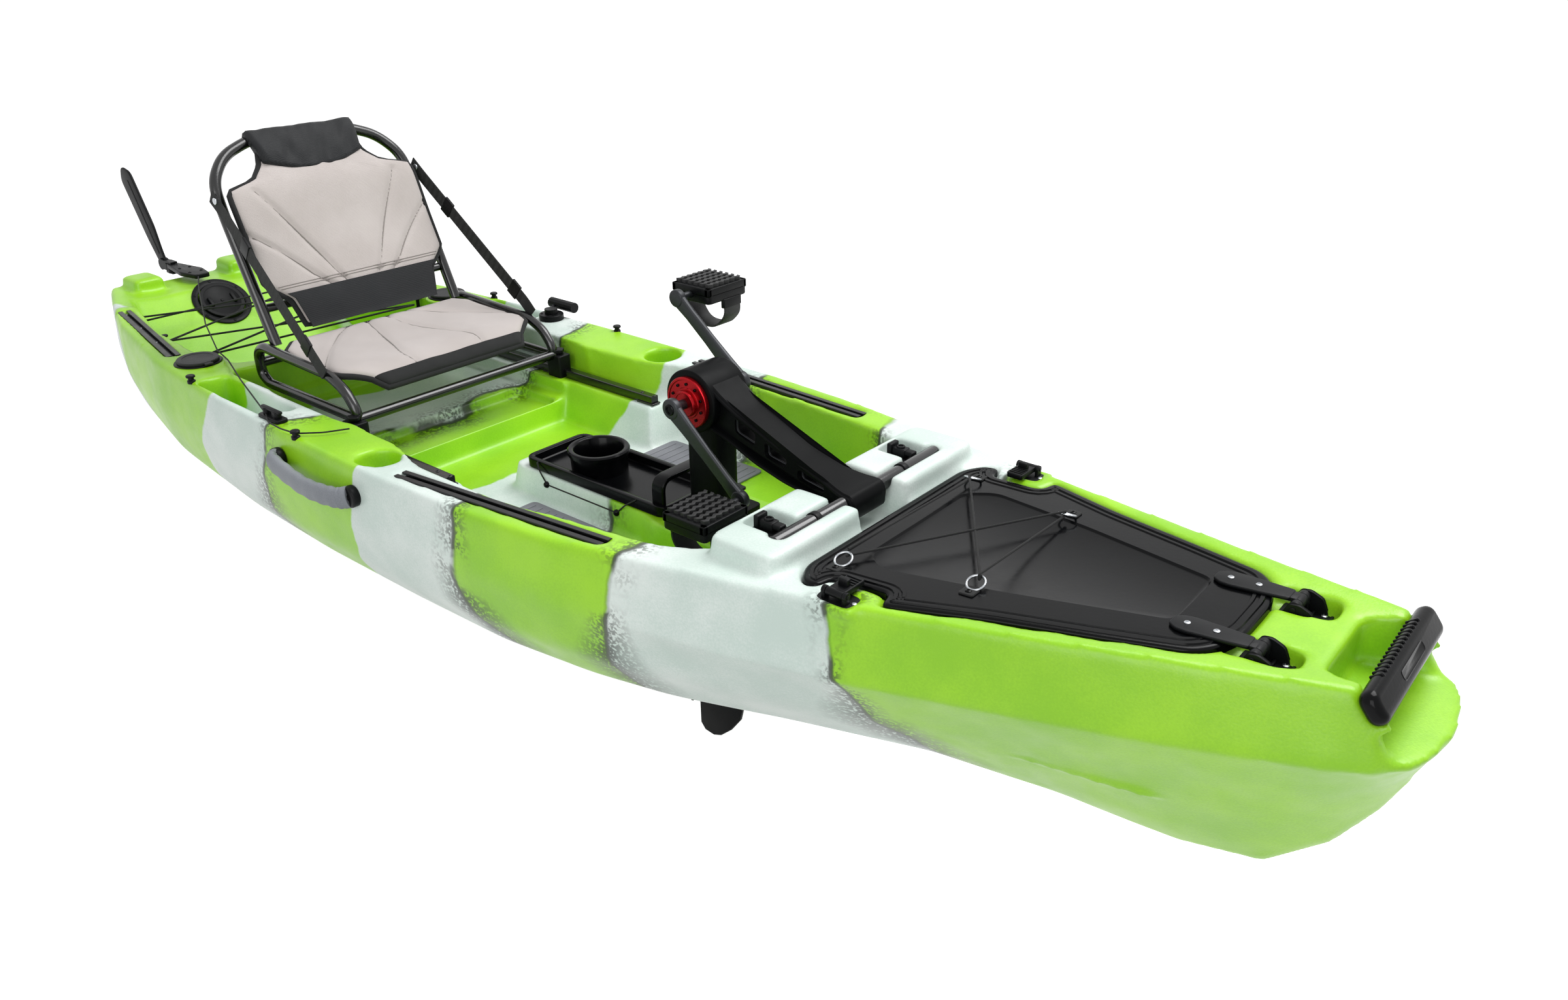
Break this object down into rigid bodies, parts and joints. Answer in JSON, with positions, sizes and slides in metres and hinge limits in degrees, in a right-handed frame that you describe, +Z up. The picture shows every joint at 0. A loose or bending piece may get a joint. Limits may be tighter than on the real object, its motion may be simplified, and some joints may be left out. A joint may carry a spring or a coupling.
{
  "type": "pedal kayak",
  "caption": "Sit-on-top kayak with a framed seat on rails, a crank drive in a well, a stern rudder, a bow hatch and deck fittings.",
  "frame": {"origin": "on the flat keel strip, on the centreline, 1.642 m ahead of the transom", "axes": "+X to the bow, +Y to port, +Z up"},
  "size_m": [3.4813, 0.954, 1.1052],
  "materials": {
    "lime_plastic": "semi-gloss rotomoulded polyethylene, lime green with pale blotches",
    "track_black": "black anodised extrusion",
    "black_plastic": "satin black moulding",
    "gloss_black_plastic": "glossy black moulding",
    "grey_foam": "soft grey grip",
    "foot_foam": "soft grey foam sheet",
    "black_tube": "black powder coat on aluminium tube",
    "satin_dark_metal": "satin dark grey coat",
    "seat_fabric": "light grey woven mesh with black piping",
    "webbing": "black woven webbing",
    "red_metal": "red anodised",
    "steel": "bare stainless steel",
    "grey_plastic": "grey moulded plastic",
    "black_cord": "black woven sheath over elastic or line"
  },
  "bodies": {
    "kayak": {"hull": "lime_plastic", "front_track_starboard": "track_black", "front_track_port": "track_black", "rear_track_starboard": "track_black", "rear_track_port": "track_black", "rod_holder_starboard": "black_plastic", "rod_holder_port": "black_plastic", "deck_plate_ring": "black_plastic", "bow_handle": "gloss_black_plastic", "side_handle_starboard": "grey_foam", "side_handle_port": "grey_foam", "rudder_bracket": "black_plastic", "steering_base": "black_plastic", "seat_rail_starboard": "black_tube", "seat_rail_port": "black_tube", "hatch_hinge_base_starboard": "black_plastic", "hatch_hinge_base_port": "black_plastic", "hatch_latch_base_starboard": "black_plastic", "hatch_latch_base_port": "black_plastic", "foot_pad_starboard": "foot_foam", "foot_pad_port": "foot_foam", "rudder_line": "black_cord", "tank_bungee": "black_cord"},
    "deck_plate_cap": {"deck_plate_lid": "gloss_black_plastic"},
    "drain": {"drain_plug": "black_plastic"},
    "rod_cover_starboard": {"rod_cap_starboard": "gloss_black_plastic"},
    "rod_cover_port": {"rod_cap_port": "gloss_black_plastic"},
    "steering": {"steering_lever": "black_plastic"},
    "rudder_yoke": {"rudder_head": "black_plastic"},
    "rudder": {"rudder_blade": "black_plastic"},
    "seat": {"seat_frame": "black_tube", "seat_pan": "seat_fabric", "seat_clamp_starboard": "black_plastic", "seat_clamp_port": "black_plastic", "back_strap_starboard": "webbing", "back_strap_port": "webbing"},
    "seat_back": {"back_frame": "black_tube", "back_pad": "seat_fabric"},
    "drive": {"drive_housing": "black_plastic", "cross_bar": "black_tube", "bearing_disc_starboard": "red_metal", "bearing_disc_port": "red_metal"},
    "crank": {"crank_axle": "steel", "crank_arm_starboard": "satin_dark_metal", "crank_arm_port": "satin_dark_metal"},
    "pedal_left_out": {"pedal_port": "black_plastic"},
    "pedal_right_out": {"pedal_starboard": "black_plastic"},
    "input_shaft": {"drive_shaft": "steel"},
    "screw": {"propeller": "grey_plastic"},
    "bar_latch_starboard_body": {"bar_latch_starboard": "black_plastic"},
    "bar_latch_port_body": {"bar_latch_port": "black_plastic"},
    "rear_latch_body": {"rear_latch": "black_plastic"},
    "hatch": {"hatch_lid": "gloss_black_plastic", "hatch_bungee": "black_cord", "hatch_hinge_leaf_starboard": "black_plastic", "hatch_hinge_leaf_port": "black_plastic"},
    "hatch_lever_starboard": {"hatch_latch_lever_starboard": "black_plastic"},
    "hatch_lever_port": {"hatch_latch_lever_port": "black_plastic"},
    "console": {"console_tray": "gloss_black_plastic"}
  },
  "joints": [
    {"name": "seat_slide", "type": "slide", "parent": "kayak", "child": "seat", "axis": [1, 0, 0], "range_m": [-0.02, 0.16]},
    {"name": "seat_back_fold", "type": "hinge", "parent": "seat", "child": "seat_back", "pos_m": [-0.722, 0, 0.436], "axis": [0, 1, 0], "range_deg": [0, 24], "deforming": ["back_strap_starboard", "back_strap_port"]},
    {"name": "drive_lift", "type": "slide", "parent": "kayak", "child": "drive", "axis": [0, 0, 1], "range_m": [0, 0.27]},
    {"name": "crank_turn", "type": "hinge", "parent": "drive", "child": "crank", "pos_m": [0.342, 0, 0.506], "axis": [0, 1, 0], "continuous": true},
    {"name": "pedal_turn_starboard", "type": "hinge", "parent": "crank", "child": "pedal_right_out", "pos_m": [0.49521, 0, 0.37744], "axis": [0, 1, 0], "continuous": true},
    {"name": "pedal_turn_port", "type": "hinge", "parent": "crank", "child": "pedal_left_out", "pos_m": [0.18879, 0, 0.63456], "axis": [0, 1, 0], "continuous": true},
    {"name": "drive_shaft_turn", "type": "hinge", "parent": "drive", "child": "input_shaft", "pos_m": [0.352, 0, 0.2], "axis": [0, 0, 1], "continuous": true},
    {"name": "propeller_turn", "type": "hinge", "parent": "drive", "child": "screw", "pos_m": [0.3, 0, -0.098], "axis": [1, 0, 0], "continuous": true},
    {"name": "steering_turn", "type": "hinge", "parent": "kayak", "child": "steering", "pos_m": [-0.545, 0.382, 0.39], "axis": [0, 0, 1], "range_deg": [-40, 40]},
    {"name": "rudder_steer", "type": "hinge", "parent": "kayak", "child": "rudder_yoke", "pos_m": [-1.694, 0, 0.4], "axis": [0, 0, 1], "range_deg": [-36, 36]},
    {"name": "rudder_flip", "type": "hinge", "parent": "rudder_yoke", "child": "rudder", "pos_m": [-1.739, 0, 0.402], "axis": [0, -1, 0], "range_deg": [0, 150]},
    {"name": "hatch_open", "type": "hinge", "parent": "kayak", "child": "hatch", "pos_m": [1.378, 0, 0.424], "axis": [0, 1, 0], "range_deg": [0, 100]},
    {"name": "hatch_lever_turn_starboard", "type": "hinge", "parent": "kayak", "child": "hatch_lever_starboard", "pos_m": [0.845, -0.28, 0.407], "axis": [1, 0, 0], "range_deg": [0, 110]},
    {"name": "hatch_lever_turn_port", "type": "hinge", "parent": "kayak", "child": "hatch_lever_port", "pos_m": [0.845, 0.28, 0.407], "axis": [-1, 0, 0], "range_deg": [0, 110]},
    {"name": "bar_latch_turn_starboard", "type": "hinge", "parent": "kayak", "child": "bar_latch_starboard_body", "pos_m": [0.639, -0.183, 0.4], "axis": [0, 0, -1], "range_deg": [0, 90]},
    {"name": "bar_latch_turn_port", "type": "hinge", "parent": "kayak", "child": "bar_latch_port_body", "pos_m": [0.639, 0.183, 0.4], "axis": [0, 0, 1], "range_deg": [0, 90]},
    {"name": "rear_latch_turn", "type": "hinge", "parent": "kayak", "child": "rear_latch_body", "pos_m": [0.322, 0.086, 0.27], "axis": [0, 0, 1], "range_deg": [0, 90]},
    {"name": "deck_plate_twist", "type": "hinge", "parent": "kayak", "child": "deck_plate_cap", "pos_m": [-1.445, 0, 0.346], "axis": [0.6494, 0, 0.7604], "range_deg": [0, 90]},
    {"name": "rod_cap_open_starboard", "type": "hinge", "parent": "kayak", "child": "rod_cover_starboard", "pos_m": [-0.846, -0.332, 0.3931], "axis": [0, 1, 0], "range_deg": [0, 120]},
    {"name": "rod_cap_open_port", "type": "hinge", "parent": "kayak", "child": "rod_cover_port", "pos_m": [-0.846, 0.332, 0.3931], "axis": [0, 1, 0], "range_deg": [0, 120]},
    {"name": "console_lift", "type": "slide", "parent": "kayak", "child": "console", "axis": [0, 0, 1], "range_m": [0, 0.09]},
    {"name": "drain_plug_twist", "type": "hinge", "parent": "kayak", "child": "drain", "pos_m": [-1.642, -0.07, 0.33], "axis": [-1, 0, 0], "range_deg": [0, 180]}
  ],
  "couplings": [
    {"joint": "drive_shaft_turn", "follows": "crank_turn", "ratio": 2.5},
    {"joint": "propeller_turn", "follows": "crank_turn", "ratio": 10},
    {"joint": "rudder_steer", "follows": "steering_turn", "ratio": 0.9}
  ]
}
